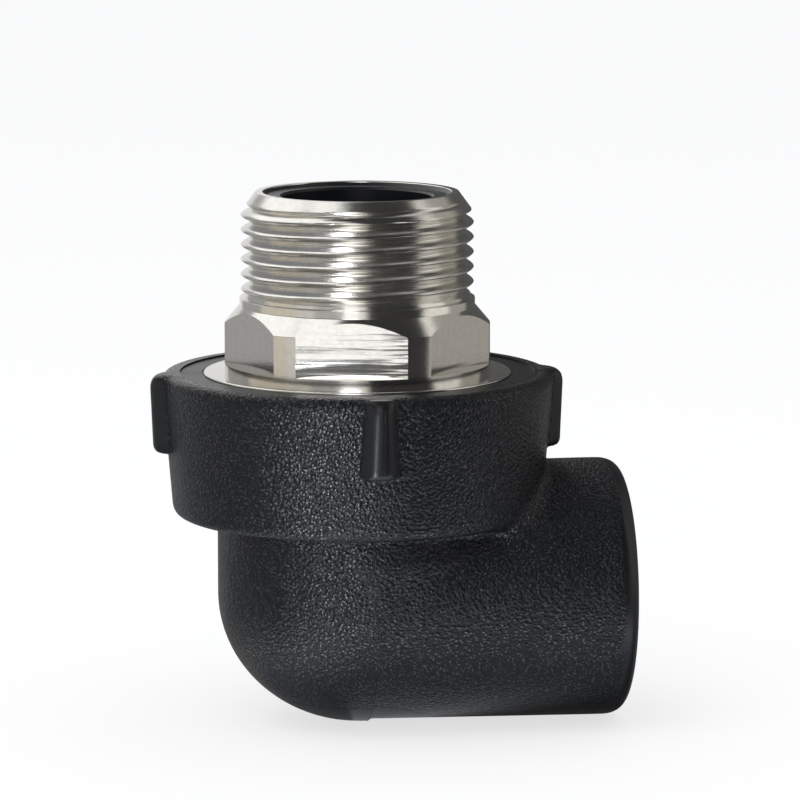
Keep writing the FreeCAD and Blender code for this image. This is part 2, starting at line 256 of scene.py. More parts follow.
def housing_distance(x, y, z):
    """Collar, lugs, barrel, dome and arm, with the roundings of a moulding between them.

    The last factor of a slanting side turns its level distance into the shortest one.
    """
    radius = np.hypot(x, y)
    collar_side = collar_reach(radius, z) * 0.9966
    collar = soft_max(soft_max(collar_side, z - COLLAR_TOP, 1.75), COLLAR_FOOT - z, 1.7)
    lug_side = (radius - LUG_RADIUS - (z - 21.0) * LUG_DRAFT) * 0.999
    lug_ring = soft_max(soft_max(lug_side, z - COLLAR_TOP, 2.2), LUG_FOOT - z, 1.2)
    # Four lugs a quarter turn apart, wider at their root than at their face
    out = np.maximum(np.abs(x), np.abs(y))
    aside = np.minimum(np.abs(x), np.abs(y))
    flank = (aside - 0.85 - (29.85 - out) * 0.74) * 0.804
    lug = soft_max(lug_ring, flank, 0.7)
    head = soft_min(collar, lug, 0.25)
    # The dome stands a little proud of the arm
    dome = oval_distance(radius, z, BARREL_RADIUS, DOME_DEPTH)
    post = np.where(z >= 0, radius - BARREL_RADIUS, np.maximum(dome, x - 0.8))
    post = np.maximum(post, z - BARREL_TOP)
    # The arm goes from an ellipse at its root to a circle near its mouth
    share = np.clip(x / 32.4, 0, 1)
    arm = oval_distance(y, z + 0.12, BARREL_RADIUS - 1.5 * share, 18.3 + 0.3 * share)
    arm = soft_max(arm, x - ARM_END, 3.4)
    arm = np.maximum(arm, -x)
    # The rounding in the inner corners
    valley = 0.5 + 3.0 * np.clip(z / 7, 0, 1) ** 2
    ledge = 0.9 + 2.4 * np.clip((x - 2) / 22, 0, 1) * np.clip((20 - z) / 8, 0, 1)
    return soft_min(soft_min(post, arm, valley), head, ledge)


def skinned(name, distance, low, high, step):
    """Closed quad skin on the zero level of a distance, with each corner moved onto it."""
    axes = [np.arange(a, b + step, step) for a, b in zip(low, high)]
    value = distance(*np.meshgrid(*axes, indexing="ij"))
    inside = value < 0
    corners = [(i, j, k) for i in (0, 1) for j in (0, 1) for k in (0, 1)]
    count = [n - 1 for n in value.shape]
    filled = sum(inside[i:i + count[0], j:j + count[1], k:k + count[2]].astype(np.int8)
                 for i, j, k in corners)
    crossed = (filled > 0) & (filled < 8)
    number = np.full(crossed.shape, -1)
    number[crossed] = np.arange(crossed.sum())
    cell = np.argwhere(crossed)
    at = [value[tuple((cell + corner).T)] for corner in corners]
    total, hits = np.zeros(cell.shape), np.zeros(len(cell))
    for first, start in enumerate(corners):
        for second, end in enumerate(corners):
            if second > first and sum(abs(p - q) for p, q in zip(start, end)) == 1:
                cross = (at[first] < 0) != (at[second] < 0)
                share = np.where(cross, at[first] / np.where(cross, at[first] - at[second], 1), 0)
                where = np.array(start) + share[:, None] * (np.array(end) - np.array(start))
                total += where * cross[:, None]
                hits += cross
    points = np.array(low) + (cell + total / hits[:, None]) * step
    # Walk each point down the slope, a short way at a time
    reach, least_slope, longest_walk, walks = 0.02, 0.2, 0.15, 5
    for _ in range(walks):
        here = distance(*points.T)
        slope = np.stack([distance(*(points + shift).T) - distance(*(points - shift).T)
                          for shift in reach * np.eye(3)], axis=1) / (2 * reach)
        size = np.maximum((slope ** 2).sum(axis=1), least_slope)
        points -= np.clip(slope * (here / size)[:, None], -longest_walk, longest_walk)
    quads = []
    for axis in range(3):
        other = [(axis + 1) % 3, (axis + 2) % 3]
        edge = np.argwhere(np.diff(inside, axis=axis))
        edge = edge[(edge[:, other] > 0).all(axis=1)]
        ring = []
        for shift in ((1, 1), (0, 1), (0, 0), (1, 0)):
            spot = edge.copy()
            spot[:, other] -= shift
            ring.append(number[tuple(spot.T)])
        ring = np.stack(ring, axis=1)
        leaving = inside[tuple(edge.T)]
        quads += np.where(leaving[:, None], ring, ring[:, ::-1]).tolist()
    return new_piece(name, points.tolist(), quads)


# Materials
def new_material(name):
    """An empty material and its node tree."""
    material = bpy.data.materials.new(name)
    material.use_nodes = True
    material.node_tree.nodes.clear()
    return material, material.node_tree


def finish_material(tree, shader):
    add_node(tree, "ShaderNodeOutputMaterial", inputs={"Surface": shader.outputs[0]})


def hdpe_material(sizes):
    """High-density polyethylene with carbon black, moulded in a spark-eroded tool.

    The tool leaves a pebbled skin of shallow domes about half a millimetre across. Each dome
    gives the eye a small bright spot, so the black skin glitters. Lugs, land and the arm's
    rounded end were polished in the tool, so the attribute named grain is 0 there.
    """
    material, tree = new_material("HDPE_black_spark_eroded")
    place = add_node(tree, "ShaderNodeTexCoord").outputs["Object"]
    grain = add_node(tree, "ShaderNodeAttribute", {"attribute_name": "grain"})
    sway = add_node(tree, "ShaderNodeTexNoise", inputs={
        "Vector": place, "Scale": 0.7 / sizes.grain_size, "Detail": 1.0})
    bent = add_node(tree, "ShaderNodeVectorMath", {"operation": "MULTIPLY_ADD"}, {
        0: sway.outputs["Color"], 1: (sizes.grain_size * 0.6,) * 3, 2: place})
    pebble = add_node(tree, "ShaderNodeTexVoronoi", inputs={
        "Vector": bent.outputs[0], "Scale": 1 / sizes.grain_size})
    dome = add_node(tree, "ShaderNodeMath", {"operation": "POWER"}, {
        0: pebble.outputs["Distance"], 1: 1.6})
    fine = add_node(tree, "ShaderNodeTexNoise", inputs={
        "Vector": place, "Scale": 1.6 / sizes.grain_size, "Detail": 3.0, "Roughness": 0.6})
    height = add_node(tree, "ShaderNodeMath", {"operation": "MULTIPLY_ADD"}, {
        0: fine.outputs[0], 1: 0.5, 2: dome.outputs[0]})
    masked = add_node(tree, "ShaderNodeMath", {"operation": "MULTIPLY"}, {
        0: height.outputs[0], 1: grain.outputs["Fac"]})
    bump = add_node(tree, "ShaderNodeBump", {"invert": True}, {
        "Strength": 1.0, "Distance": sizes.grain_depth, "Height": masked.outputs[0]})
    # Patches a few millimetres wide keep the skin from looking painted
    patch = add_node(tree, "ShaderNodeTexNoise", inputs={
        "Vector": place, "Scale": 140.0, "Detail": 4.0})
    even = add_node(tree, "ShaderNodeMapRange", inputs={
        "Value": patch.outputs[0], "From Min": 0.3, "From Max": 0.7, "To Min": 0.33, "To Max": 0.4})
    rough = add_node(tree, "ShaderNodeMath", {"operation": "MULTIPLY_ADD"}, {
        0: grain.outputs["Fac"], 1: -0.13, 2: even.outputs[0]})
    tint = add_node(tree, "ShaderNodeMix", {"data_type": "RGBA"}, {
        "Factor": patch.outputs[0], "A": list(sizes.colour) + [1],
        "B": [part * 1.4 for part in sizes.colour] + [1]})
    # Painted shade and highlight: the specular level rises on the tops of the domes, past what the
    # plastic reflects, and falls in the valleys, in place of the shade between them
    painted_glint = add_node(tree, "ShaderNodeMapRange", inputs={
        "Value": height.outputs[0], "From Min": 0.28, "From Max": 0.43,
        "To Min": 0.75, "To Max": -0.1})
    painted_glint = add_node(tree, "ShaderNodeMath", {"operation": "MULTIPLY_ADD"}, {
        0: painted_glint.outputs[0], 1: grain.outputs["Fac"], 2: 0.32})
    shader = add_node(tree, "ShaderNodeBsdfPrincipled", inputs={
        "Base Color": tint.outputs["Result"], "Roughness": rough.outputs[0], "IOR": 1.54,
        "Specular IOR Level": painted_glint.outputs[0], "Normal": bump.outputs[0]})
    finish_material(tree, shader)
    return material


def milled_normal(tree, place, tilt):
    """Each line of the cutter leans its own way, so what a flat mirrors breaks into streaks.

    The lines lean more where the cutter left the front flat, and the flat dips at its foot.
    """
    spread = add_node(tree, "ShaderNodeMapping", inputs={
        "Vector": place, "Scale": (110.0, 110.0, 2600.0)})
    streak = add_node(tree, "ShaderNodeTexNoise", inputs={
        "Vector": spread.outputs[0], "Scale": 1.0, "Detail": 2.0})
    middle = add_node(tree, "ShaderNodeVectorMath", {"operation": "SUBTRACT"}, {
        0: streak.outputs["Color"], 1: (0.5, 0.5, 0.5)})
    spot = add_node(tree, "ShaderNodeSeparateXYZ", inputs={0: place})
    # Only the front flat lies further out than this, the way that it faces
    facing = (math.cos(FRONT_FLAT), math.sin(FRONT_FLAT), 0)
    near_flat, on_flat = UPRIGHT_X * facing[0] + 0.0164, UPRIGHT_X * facing[0] + 0.017
    reach = add_node(tree, "ShaderNodeVectorMath", {"operation": "DOT_PRODUCT"}, {
        0: place, 1: facing})
    front = add_node(tree, "ShaderNodeMapRange", inputs={
        "Value": reach.outputs["Value"], "From Min": near_flat, "From Max": on_flat,
        "To Min": 0.12, "To Max": 1.0})
    leaving = add_node(tree, "ShaderNodeMapRange", inputs={
        "Value": spot.outputs[0], "From Min": UPRIGHT_X + 0.001, "From Max": UPRIGHT_X + 0.007,
        "To Min": tilt * 0.4, "To Max": tilt * 2.2})
    amount = add_node(tree, "ShaderNodeMath", {"operation": "MULTIPLY"}, {
        0: leaving.outputs[0], 1: front.outputs[0]})
    lean = add_node(tree, "ShaderNodeVectorMath", {"operation": "SCALE"}, {
        0: middle.outputs[0], "Scale": amount.outputs[0]})
    dip_foot, dip_end = 0.0350, 0.0361
    dip = add_node(tree, "ShaderNodeMapRange", inputs={
        "Value": spot.outputs[2], "From Min": dip_foot, "From Max": dip_end,
        "To Min": -0.085, "To Max": 0.0})
    dip = add_node(tree, "ShaderNodeMath", {"operation": "MULTIPLY"}, {
        0: dip.outputs[0], 1: front.outputs[0]})
    down = add_node(tree, "ShaderNodeCombineXYZ", inputs={2: dip.outputs[0]})
    lean = add_node(tree, "ShaderNodeVectorMath", {"operation": "ADD"}, {
        0: lean.outputs[0], 1: down.outputs[0]})
    surface = add_node(tree, "ShaderNodeNewGeometry")
    leaning = add_node(tree, "ShaderNodeVectorMath", {"operation": "ADD"}, {
        0: surface.outputs["Normal"], 1: lean.outputs[0]})
    return add_node(tree, "ShaderNodeVectorMath", {"operation": "NORMALIZE"}, {
        0: leaning.outputs[0]}).outputs[0]


def nickel_material(name, colour, lines, line_depth, roughness, tilt=0.0):
    """Nickel plated over brass, a bright and slightly warm metal that keeps the tool's lines.

    The lines give it the soft bands of turned metal. A milled face has a tilt too: how far the
    cutter's lines lean. Clouds in the roughness stand for handling and an uneven plating bath.
    """
    material, tree = new_material(name)
    place = add_node(tree, "ShaderNodeTexCoord").outputs["Object"]
    stretched = add_node(tree, "ShaderNodeMapping", inputs={
        "Vector": place, "Scale": lines})
    marks = add_node(tree, "ShaderNodeTexNoise", inputs={
        "Vector": stretched.outputs[0], "Scale": 1.0, "Detail": 3.0, "Roughness": 0.7})
    bump = add_node(tree, "ShaderNodeBump", inputs={
        "Strength": 1.0, "Distance": line_depth, "Height": marks.outputs[0]})
    if tilt:
        tree.links.new(milled_normal(tree, place, tilt), bump.inputs["Normal"])
    clouds = add_node(tree, "ShaderNodeTexNoise", inputs={
        "Vector": place, "Scale": 160.0, "Detail": 3.0})
    rough = add_node(tree, "ShaderNodeMapRange", inputs={
        "Value": clouds.outputs[0], "From Min": 0.3, "From Max": 0.7,
        "To Min": roughness * 0.85, "To Max": roughness * 1.2})
    # Thin and thick plating differ a little in colour
    specks = add_node(tree, "ShaderNodeTexNoise", inputs={
        "Vector": place, "Scale": 1100.0, "Detail": 4.0, "Roughness": 0.7})
    share = add_node(tree, "ShaderNodeMapRange", inputs={
        "Value": specks.outputs[0], "From Min": 0.35, "From Max": 0.6})
    tint = add_node(tree, "ShaderNodeMix", {"data_type": "RGBA"}, {
        "Factor": share.outputs[0], "A": [colour[0] * 0.94, colour[1] * 0.935, colour[2] * 0.92, 1],
        "B": list(colour) + [1]})
    shader = add_node(tree, "ShaderNodeBsdfPrincipled", inputs={
        "Base Color": tint.outputs["Result"], "Metallic": 1.0, "Roughness": rough.outputs[0],
        "Normal": bump.outputs[0]})
    finish_material(tree, shader)
    return material


def rubber_material(sizes):
    """Moulded nitrile rubber: matt black, with the faint grey bloom of wax on its skin."""
    material, tree = new_material("nitrile_rubber_moulded")
    place = add_node(tree, "ShaderNodeTexCoord").outputs["Object"]
    bloom = add_node(tree, "ShaderNodeTexNoise", inputs={
        "Vector": place, "Scale": 500.0, "Detail": 3.0})
    tint = add_node(tree, "ShaderNodeMix", {"data_type": "RGBA"}, {
        "Factor": bloom.outputs[0], "A": [part * 0.7 for part in sizes.colour] + [1],
        "B": [part * 1.5 for part in sizes.colour] + [1]})
    shader = add_node(tree, "ShaderNodeBsdfPrincipled", inputs={
        "Base Color": tint.outputs["Result"], "Roughness": 0.7, "IOR": 1.52})
    finish_material(tree, shader)
    return material


# Sizes and colours that a user would change
class ELBOW_PG_housing(bpy.types.PropertyGroup):
    colour: bpy.props.FloatVectorProperty(
        name="Plastic colour", description="Colour of the moulded plastic",
        default=linear("#0d0f13"), subtype="COLOR", size=3, min=0.0, max=1.0)
    grain_size: bpy.props.FloatProperty(
        name="Grain size", description="Width of one pebble of the moulded grain",
        default=0.00047, unit="LENGTH", subtype="DISTANCE", precision=5)
    grain_depth: bpy.props.FloatProperty(
        name="Grain depth", description="Depth of the valleys between the pebbles",
        default=0.00015, unit="LENGTH", subtype="DISTANCE", precision=5)
    flash_height: bpy.props.FloatProperty(
        name="Flash height", description="How far the flash on the parting line stands out",
        default=0.00011, unit="LENGTH", subtype="DISTANCE", precision=5)
    skin_step: bpy.props.FloatProperty(
        name="Skin step", description="Width of one face of the housing's skin",
        default=0.00046, unit="LENGTH", subtype="DISTANCE", precision=5)


class ELBOW_PG_insert(bpy.types.PropertyGroup):
    colour: bpy.props.FloatVectorProperty(
        name="Plating colour", description="Colour of the nickel plating",
        default=linear("#dddbd6"), subtype="COLOR", size=3, min=0.0, max=1.0)
    line_depth: bpy.props.FloatProperty(
        name="Turning line depth", description="Depth of the lines that the turning tool left",
        default=0.000006, unit="LENGTH", subtype="DISTANCE", precision=6)
    mill_tilt: bpy.props.FloatProperty(
        name="Mill tilt", description="How far the lines on the milled flats lean",
        default=math.radians(27), unit="ROTATION", subtype="ANGLE", min=0.0)
    hex_width: bpy.props.FloatProperty(
        name="Hexagon width", description="Distance between opposite flats",
        default=0.0345, unit="LENGTH", subtype="DISTANCE", precision=5)


class ELBOW_PG_seal(bpy.types.PropertyGroup):
    colour: bpy.props.FloatVectorProperty(
        name="Rubber colour", description="Colour of the seal ring",
        default=linear("#1b1b1b"), subtype="COLOR", size=3, min=0.0, max=1.0)


class ELBOW_PG_studio(bpy.types.PropertyGroup):
    floor_colour: bpy.props.FloatVectorProperty(
        name="Floor colour", description="Colour of the acrylic sheet that the elbow lies over",
        default=linear("#f4f4f4"), subtype="COLOR", size=3, min=0.0, max=1.0)
    lamp_power: bpy.props.FloatProperty(
        name="Lamp power", description="Power of the lamp overhead on the left",
        default=2.5, unit="POWER", subtype="POWER")


class ELBOW_PG_thread(bpy.types.PropertyGroup):
    pitch: bpy.props.FloatProperty(
        name="Pitch", description="Height of one turn of the thread",
        default=0.00212, unit="LENGTH", subtype="DISTANCE", precision=5)
    crest_radius: bpy.props.FloatProperty(
        name="Crest radius", description="Radius over the thread's crests",
        default=0.0166245, unit="LENGTH", subtype="DISTANCE", precision=5)
    depth: bpy.props.FloatProperty(
        name="Depth", description="Height of the crests above the roots",
        default=0.00136, unit="LENGTH", subtype="DISTANCE", precision=5)
    first_crest: bpy.props.FloatProperty(
        name="First crest", description="Height of a crest on the side away from the arm's mouth",
        default=0.042882, unit="LENGTH", subtype="DISTANCE", precision=5)


class ELBOW_OT_housing(bpy.types.Operator):
    """Build the black moulded housing with its bores and the bed of the insert"""
    bl_idname = "elbow.housing"
    bl_label = "Moulded housing"

    def execute(self, context):
        sizes = context.scene.elbow_housing
        housing = skinned("moulded_housing", housing_distance, (-31.0, -31.0, -19.8),
                          (39.5, 31.0, 33.0), sizes.skin_step / MM)
        for name, outline, along, operation in (
                ("liner_tool", LINER, "Z", "UNION"), ("bed_tool", INSERT_BED, "Z", "DIFFERENCE"),
                ("way_tool", PIPE_WAY, "X", "DIFFERENCE"),
                ("riser_tool", RISER, "Z", "DIFFERENCE")):
            cut_piece(housing, revolved(name, outline, HOUSING_SIDES, along), operation)
        tidy_skin(housing, 38)
        mark_grain(housing)
        housing.data.materials.clear()
        housing.data.materials.append(hdpe_material(sizes))
        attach(housing, "root")
        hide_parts("elbow_body")
        return {"FINISHED"}


def mark_grain(housing):
    """Mark where the tool was spark eroded (1) and where it was polished (0)."""
    mesh = housing.data
    places = np.empty(len(mesh.vertices) * 3)
    mesh.vertices.foreach_get("co", places)
    x, y, z = places.reshape(-1, 3).T / MM
    x = x - UPRIGHT_X / MM
    radius = np.hypot(x, y)
    lug = np.clip((collar_reach(radius, z) - 0.12) / 0.2, 0, 1) * (z > 20.4)
    land = np.clip((25.75 - radius) / 0.2, 0, 1) * (z > 28)
    mouth = np.clip((x - 35.6) / 0.8, 0, 1)
    bores = (np.hypot(y, z) < 17.0) & (x > 18)
    waterway = (radius < 12.5) | ((np.hypot(y, z) < 12.3) & (x > -12))
    smooth = np.maximum.reduce([lug, land, mouth, bores * 1.0, waterway * 1.0])
    grain = mesh.attributes.new("grain", "FLOAT", "POINT")
    grain.data.foreach_set("value", 1 - smooth)


def new_tree(name, sockets):
    """A Geometry Nodes group with inputs of (label, kind, value), and those inputs."""
    tree = bpy.data.node_groups.new(name, "GeometryNodeTree")
    for label, kind, value in sockets:
        socket = tree.interface.new_socket(label, in_out="INPUT", socket_type="NodeSocket" + kind)
        if value is not None:
            socket.default_value = value
    tree.interface.new_socket("Geometry", in_out="OUTPUT", socket_type="NodeSocketGeometry")
    return tree, add_node(tree, "NodeGroupInput").outputs


def finish_tree(tree, made, material):
    """Send what a node made out of the group, with its material."""
    real = add_node(tree, "GeometryNodeRealizeInstances", inputs={"Geometry": made.outputs[0]})
    coated = add_node(tree, "GeometryNodeSetMaterial", inputs={
        "Geometry": real.outputs[0], "Material": material})
    add_node(tree, "NodeGroupOutput", inputs={"Geometry": coated.outputs[0]})
    return tree


# The cut of the thread: name of a step, its operation, and the steps, inputs or numbers that go in
THREAD_STEPS = [
    ("around", "ADD", "Grid X", 0.5),
    ("along", "ADD", "Grid Y", 0.5),
    ("turn", "MULTIPLY_ADD", "along", "Turns", -1.0),
    ("helix", "ADD", "turn", "around"),
    ("free level", "MULTIPLY_ADD", "helix", "Pitch", "First crest"),
    ("held level", "MAXIMUM", "free level", "Foot level"),
    ("level", "MINIMUM", "held level", "Rim level"),
    # Flanks at 55 degrees, with the crests and the roots rounded
    ("phase", "FRACT", "turn"),
    ("from root", "SUBTRACT", "phase", 0.5),
    ("share", "ABSOLUTE", "from root"),
    ("slope", "MULTIPLY_ADD", "share", 2.0, -0.5),
    ("sharp depth", "MULTIPLY", "Pitch", 0.9605),
    ("flank", "MULTIPLY", "slope", "sharp depth"),
    ("half", "MULTIPLY", "Depth", 0.5),
    ("low half", "MULTIPLY", "Depth", -0.5),
    ("crest", "SMOOTH_MIN", "flank", "half", 1.1),
    ("cut", "SMOOTH_MAX", "crest", "low half", 0.62),
    ("middle", "SUBTRACT", "Crest radius", "half"),
    ("lifted", "ADD", "middle", 0.06),
    ("cut radius", "ADD", "cut", "lifted"),
    # The cut rises out at the foot
    ("above foot", "SUBTRACT", "level", "Foot level"),
    ("run-out", "MULTIPLY_ADD", "above foot", -0.75, "Foot radius"),
    ("full radius", "MAXIMUM", "cut radius", "run-out"),
    ("bevel", "MULTIPLY_ADD", "above foot", 1.2, "Foot radius"),
    ("low radius", "MINIMUM", "full radius", "bevel"),
    # The lead cone takes the crests off at the rim
    ("below rim", "SUBTRACT", "Rim level", "level"),
    ("lead width", "SUBTRACT", "Crest radius", "Rim radius"),
    ("lead slope", "DIVIDE", "lead width", "Lead height"),
    ("lead", "MULTIPLY_ADD", "below rim", "lead slope", "Rim radius"),
    ("radius", "MINIMUM", "low radius", "lead"),
    # Metres, with the thread's axis where the insert stands
    ("angle", "MULTIPLY", "around", 2 * math.pi),
    ("metres", "MULTIPLY", "radius", MM),
    ("cosine", "COSINE", "angle"),
    ("sine", "SINE", "angle"),
    ("place x", "MULTIPLY_ADD", "metres", "cosine", UPRIGHT_X),
    ("place y", "MULTIPLY", "metres", "sine"),
    ("place z", "MULTIPLY", "level", MM),
]


def thread_tree():
    """Node group for the thread: a grid sheared along its helix and bent to the cut's outline."""
    tree, entry = new_tree("cut_thread", (
        ("Pitch", "Float", 2.12), ("Crest radius", "Float", 16.6), ("Depth", "Float", 1.36),
        ("First crest", "Float", 42.9), ("Foot level", "Float", 43.2),
        ("Rim level", "Float", 57.75), ("Foot radius", "Float", 16.02),
        ("Rim radius", "Float", 14.5), ("Lead height", "Float", 2.9), ("Turns", "Int", 9),
        ("Rows per turn", "Int", 18), ("Columns", "Int", 240), ("Material", "Material", None)))
    rows = add_node(tree, "ShaderNodeMath", {"operation": "MULTIPLY_ADD"}, {
        0: entry["Turns"], 1: entry["Rows per turn"], 2: 1.0})
    columns = add_node(tree, "ShaderNodeMath", {"operation": "ADD"}, {0: entry["Columns"], 1: 1.0})
    grid = add_node(tree, "GeometryNodeMeshGrid", inputs={
        "Size X": 1.0, "Size Y": 1.0,
        "Vertices X": columns.outputs[0], "Vertices Y": rows.outputs[0]})
    spot = add_node(tree, "GeometryNodeInputPosition")
    spot = add_node(tree, "ShaderNodeSeparateXYZ", inputs={0: spot.outputs[0]})
    known = {socket.name: socket for socket in entry}
    known.update({"Grid X": spot.outputs[0], "Grid Y": spot.outputs[1]})
    for name, operation, *values in THREAD_STEPS:
        step = add_node(tree, "ShaderNodeMath", {"operation": operation, "label": name}, {
            place: known.get(value, value) for place, value in enumerate(values)})
        known[name] = step.outputs[0]
    place = add_node(tree, "ShaderNodeCombineXYZ", inputs={
        0: known["place x"], 1: known["place y"], 2: known["place z"]})
    moved = add_node(tree, "GeometryNodeSetPosition", inputs={
        "Geometry": grid.outputs["Mesh"], "Position": place.outputs[0]})
    merged = add_node(tree, "GeometryNodeMergeByDistance", inputs={
        "Geometry": moved.outputs[0], "Distance": 0.000004})
    return finish_tree(tree, merged, entry["Material"])


def run_tree(piece, tree, values):
    """Run a node group on a piece, and keep the result as its plain mesh."""
    change = piece.modifiers.new("nodes", "NODES")
    change.node_group = tree
    for item in tree.interface.items_tree:
        if item.item_type == "SOCKET" and item.in_out == "INPUT" and item.name in values:
            change[item.identifier] = values[item.name]
    bake_piece(piece)


class ELBOW_OT_thread(bpy.types.Operator):
    """Cut the male thread of the insert, from the run-out groove to the lead chamfer"""
    bl_idname = "elbow.thread"
    bl_label = "Male thread"

    def execute(self, context):
        sizes = context.scene.elbow_thread
        plating = context.scene.elbow_insert
        coat = nickel_material("nickel_plated_brass_thread", plating.colour, (60.0, 60.0, 9000.0),
                               plating.line_depth * 2, 0.19)
        thread = new_piece("male_thread_turns", [], [])
        run_tree(thread, thread_tree(), {
            "Pitch": sizes.pitch / MM, "Crest radius": sizes.crest_radius / MM,
            "Depth": sizes.depth / MM, "First crest": sizes.first_crest / MM, "Material": coat})
        thread.data.shade_smooth()
        thread.data.set_sharp_from_angle(angle=math.radians(50))
        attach(thread, "root")
        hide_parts("threaded_insert")
        return {"FINISHED"}


class ELBOW_OT_insert(bpy.types.Operator):
    """Turn the insert's body and mill its hexagon"""
    bl_idname = "elbow.insert"
    bl_label = "Insert body"

    def execute(self, context):
        sizes = context.scene.elbow_insert
        body = revolved("insert_turned_body", rounded(INSERT_BODY), INSERT_SIDES)
        # The milling tool is a ring with a hexagonal hole
        reach = sizes.hex_width / 2 / MM / math.cos(math.radians(30))
        turns = [FIRST_FLAT + math.radians(30 + 60 * side) for side in range(6)]
        corners = [(reach * math.cos(turn), reach * math.sin(turn)) for turn in turns]
        rings = ((1.0, HEX_FOOT), (1.0, HEX_TOP), (1.6, HEX_TOP), (1.6, HEX_FOOT))
        points = [(x * wide, y * wide, z) for wide, z in rings for x, y in corners]
        mill = new_piece("mill_tool", points, ring_faces(len(rings), len(corners), len(rings)))
        tidy_skin(mill, 10)
        cut_piece(body, mill, "DIFFERENCE")
        tidy_skin(body, 22)
        body.data.materials.clear()
        body.data.materials.append(nickel_material(
            "nickel_plated_brass_turned", sizes.colour, (60.0, 60.0, 9000.0), sizes.line_depth,
            0.14))
        body.data.materials.append(nickel_material(
            "nickel_plated_brass_milled", sizes.colour, (200.0, 200.0, 7000.0), sizes.line_depth,
            0.13, sizes.mill_tilt))
        # Upright faces inside the round blank are the milled flats
        for face in body.data.polygons:
            centre = face.center
            across = math.hypot(centre.x - UPRIGHT_X, centre.y) / MM
            upright = abs(face.normal.z) < 0.02
            if upright and HEX_FOOT < centre.z / MM < 42 and across < BLANK_RADIUS - 0.05:
                face.material_index = 1
        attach(body, "root")
        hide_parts("threaded_insert")
        return {"FINISHED"}


def parting_path(skin, side):
    """Points down one side of the housing, where the two halves of the mould met."""
    far = 60
    casts = []
    # Down the collar and its lug
    for step in range(45):
        height = 30.6 - 0.43 * step
        casts.append(((0.45 if height > 20.8 else 0.0, side * far, height), (0, -side, 0)))
    # In under the collar's foot
    for step in range(10):
        casts.append(((0.0, side * (25.8 - 0.56 * step), 5), (0, 0, 1)))
    # Down the barrel
    for step in range(30):
        height = 11.0 - 0.4 * step
        aside = 0.8 * min(max((1.0 - height) / 4, 0), 1)
        casts.append(((aside, side * far, height), (0, -side, 0)))
    # Round the foot, between dome and arm
    for step in range(60):
        angle = math.radians(-3.0 - 1.42 * step)
        out, up = side * math.cos(angle), math.sin(angle)
        casts.append(((0.78, out * far, up * far), (0, -out, -up)))
    points = []
    for (x, y, z), toward in casts:
        start = Vector((x * MM + UPRIGHT_X, y * MM, z * MM))
        spot = skin.ray_cast(start, Vector(toward))[0]
        if spot is None:
            raise RuntimeError("the parting line missed the housing at %.1f mm" % z)
        points.append(spot)
    return points


def flash_tree():
    """Node group for the flash: an uneven thin bead along a path."""
    tree, entry = new_tree("parting_bead", (
        ("Geometry", "Geometry", None), ("Thickness", "Float", 0.00011),
        ("Spacing", "Float", 0.0003), ("Unevenness", "Float", 0.6), ("Seed", "Float", 3.0),
        ("Material", "Material", None)))
    line = add_node(tree, "GeometryNodeMeshToCurve", inputs={"Mesh": entry["Geometry"]})
    spaced = add_node(tree, "GeometryNodeResampleCurve", {"mode": "LENGTH"}, {
        "Curve": line.outputs[0], "Length": entry["Spacing"]})
    wobble = add_node(tree, "ShaderNodeTexNoise", {"noise_dimensions": "4D"}, {
        "W": entry["Seed"], "Scale": 700.0, "Detail": 2.0})
    share = add_node(tree, "ShaderNodeMapRange", inputs={
        "Value": wobble.outputs[0], "From Min": 0.3, "From Max": 0.7, "To Max": 1.0})
    thin = add_node(tree, "ShaderNodeMath", {"operation": "SUBTRACT"}, {
        0: 1.0, 1: entry["Unevenness"]})
    tree.links.new(thin.outputs[0], share.inputs["To Min"])
    section = add_node(tree, "GeometryNodeCurvePrimitiveCircle", inputs={
        "Resolution": 8, "Radius": entry["Thickness"]})
    bead = add_node(tree, "GeometryNodeCurveToMesh", inputs={
        "Curve": spaced.outputs[0], "Profile Curve": section.outputs[0],
        "Scale": share.outputs[0], "Fill Caps": True})
    smooth = add_node(tree, "GeometryNodeSetShadeSmooth", inputs={"Geometry": bead.outputs[0]})
    return finish_tree(tree, smooth, entry["Material"])


class ELBOW_OT_flash(bpy.types.Operator):
    """Run the thin line of flash down the housing, where the halves of the mould met"""
    bl_idname = "elbow.flash"
    bl_label = "Parting flash"

    def execute(self, context):
        housing = bpy.data.objects["moulded_housing"]
        skin = BVHTree.FromObject(housing, context.evaluated_depsgraph_get())
        points, edges = [], []
        for side in (-1, 1):
            path = parting_path(skin, side)
            first = len(points)
            points += path
            edges += [(place, place + 1) for place in range(first, first + len(path) - 1)]
        flash = new_piece("parting_flash", [], [])
        flash.data.from_pydata(points, edges, [])
        run_tree(flash, flash_tree(), {
            "Thickness": context.scene.elbow_housing.flash_height,
            "Material": housing.data.materials[0]})
        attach(flash, "root")
        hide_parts("elbow_body")
        return {"FINISHED"}


class ELBOW_OT_seal(bpy.types.Operator):
    """Give the seal ring its rubber"""
    bl_idname = "elbow.seal"
    bl_label = "Seal ring"

    def execute(self, context):
        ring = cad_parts["seal_ring"]
        rubber = rubber_material(context.scene.elbow_seal)
        ring.data.materials.clear()
        ring.data.materials.append(rubber)
        return {"FINISHED"}


